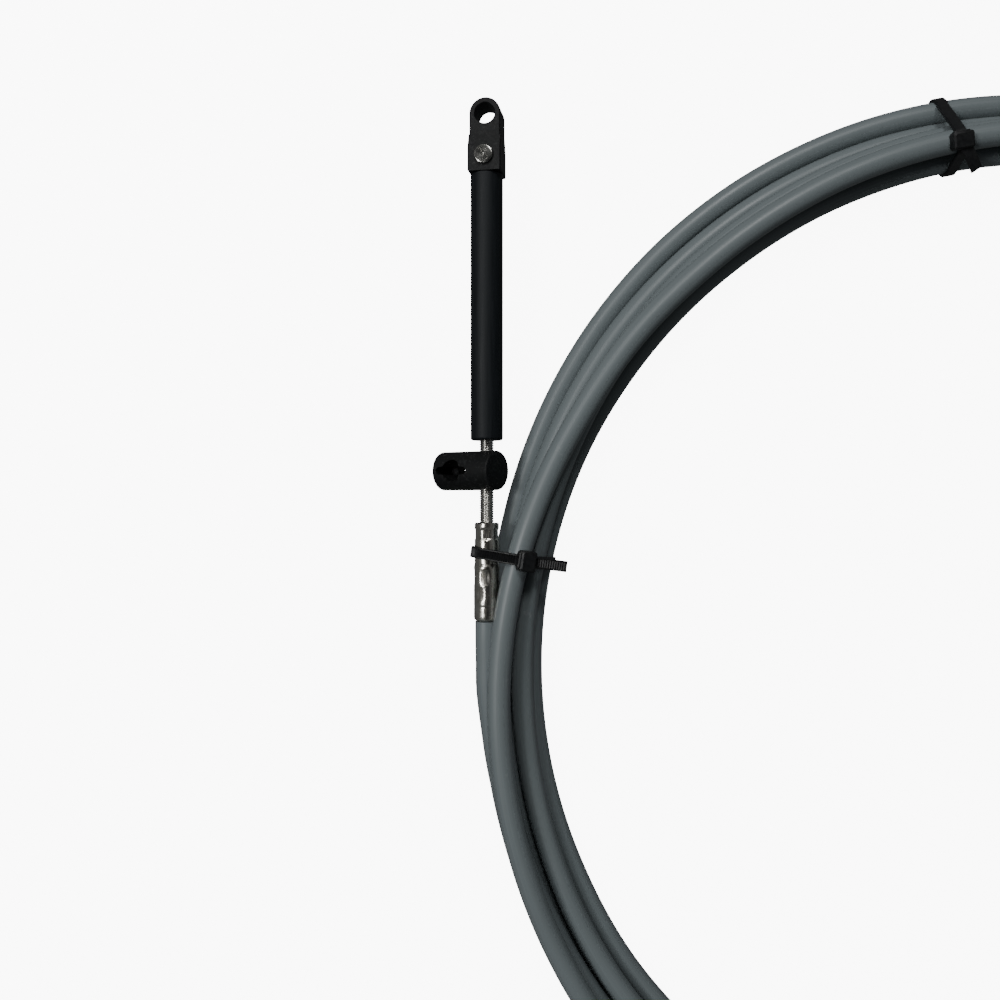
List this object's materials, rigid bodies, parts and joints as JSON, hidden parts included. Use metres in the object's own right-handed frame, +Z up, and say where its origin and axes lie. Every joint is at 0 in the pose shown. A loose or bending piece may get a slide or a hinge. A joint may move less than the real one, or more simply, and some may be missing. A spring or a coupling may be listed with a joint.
{
  "type": "throttle and shift cable",
  "caption": "Coiled push-pull control cable held by ties, with a sliding sleeve and eye, an anchor barrel and a crimped hub on its engine end and a rod on its helm end.",
  "frame": {"origin": "centre of the bounding box in plan, on the floor that the coil lies on", "axes": "+Z up out of the floor, +Y along both ends' fittings towards their tips, +X from the engine end to the helm end"},
  "size_m": [0.382, 0.3944, 0.0278],
  "materials": {
    "jacket": "satin grey extruded jacket",
    "hub": "nickel-plated, crimped",
    "steel": "bright stainless",
    "sleeve": "satin black",
    "black_plastic": "moulded black, slightly grained",
    "rivet": "turned steel",
    "tie": "black nylon"
  },
  "bodies": {
    "root": {"cable_coil": "jacket", "engine_lead": "jacket", "engine_hub": "hub", "guide_tube": "steel", "helm_lead": "jacket", "helm_hub": "hub", "helm_tube": "steel", "tie_engine": "tie", "tie_top": "tie", "tie_bottom": "tie", "tie_helm": "tie"},
    "rod_end": {"slide_sleeve": "sleeve", "terminal_eye": "black_plastic", "eye_rivet": "rivet", "core_rod": "steel"},
    "barrel": {"anchor_barrel": "black_plastic"},
    "helm_rod": {"helm_rod": "steel"}
  },
  "joints": [
    {"name": "engine_stroke", "type": "slide", "parent": "root", "child": "rod_end", "axis": [0, 1, 0], "range_m": [0, 0.076]},
    {"name": "barrel_adjust", "type": "slide", "parent": "root", "child": "barrel", "axis": [0, 1, 0], "range_m": [-0.0105, 0.0034]},
    {"name": "helm_stroke", "type": "slide", "parent": "root", "child": "helm_rod", "axis": [0, -1, 0], "range_m": [0, 0.076]}
  ],
  "couplings": [
    {"joint": "helm_stroke", "follows": "engine_stroke", "ratio": 1}
  ]
}
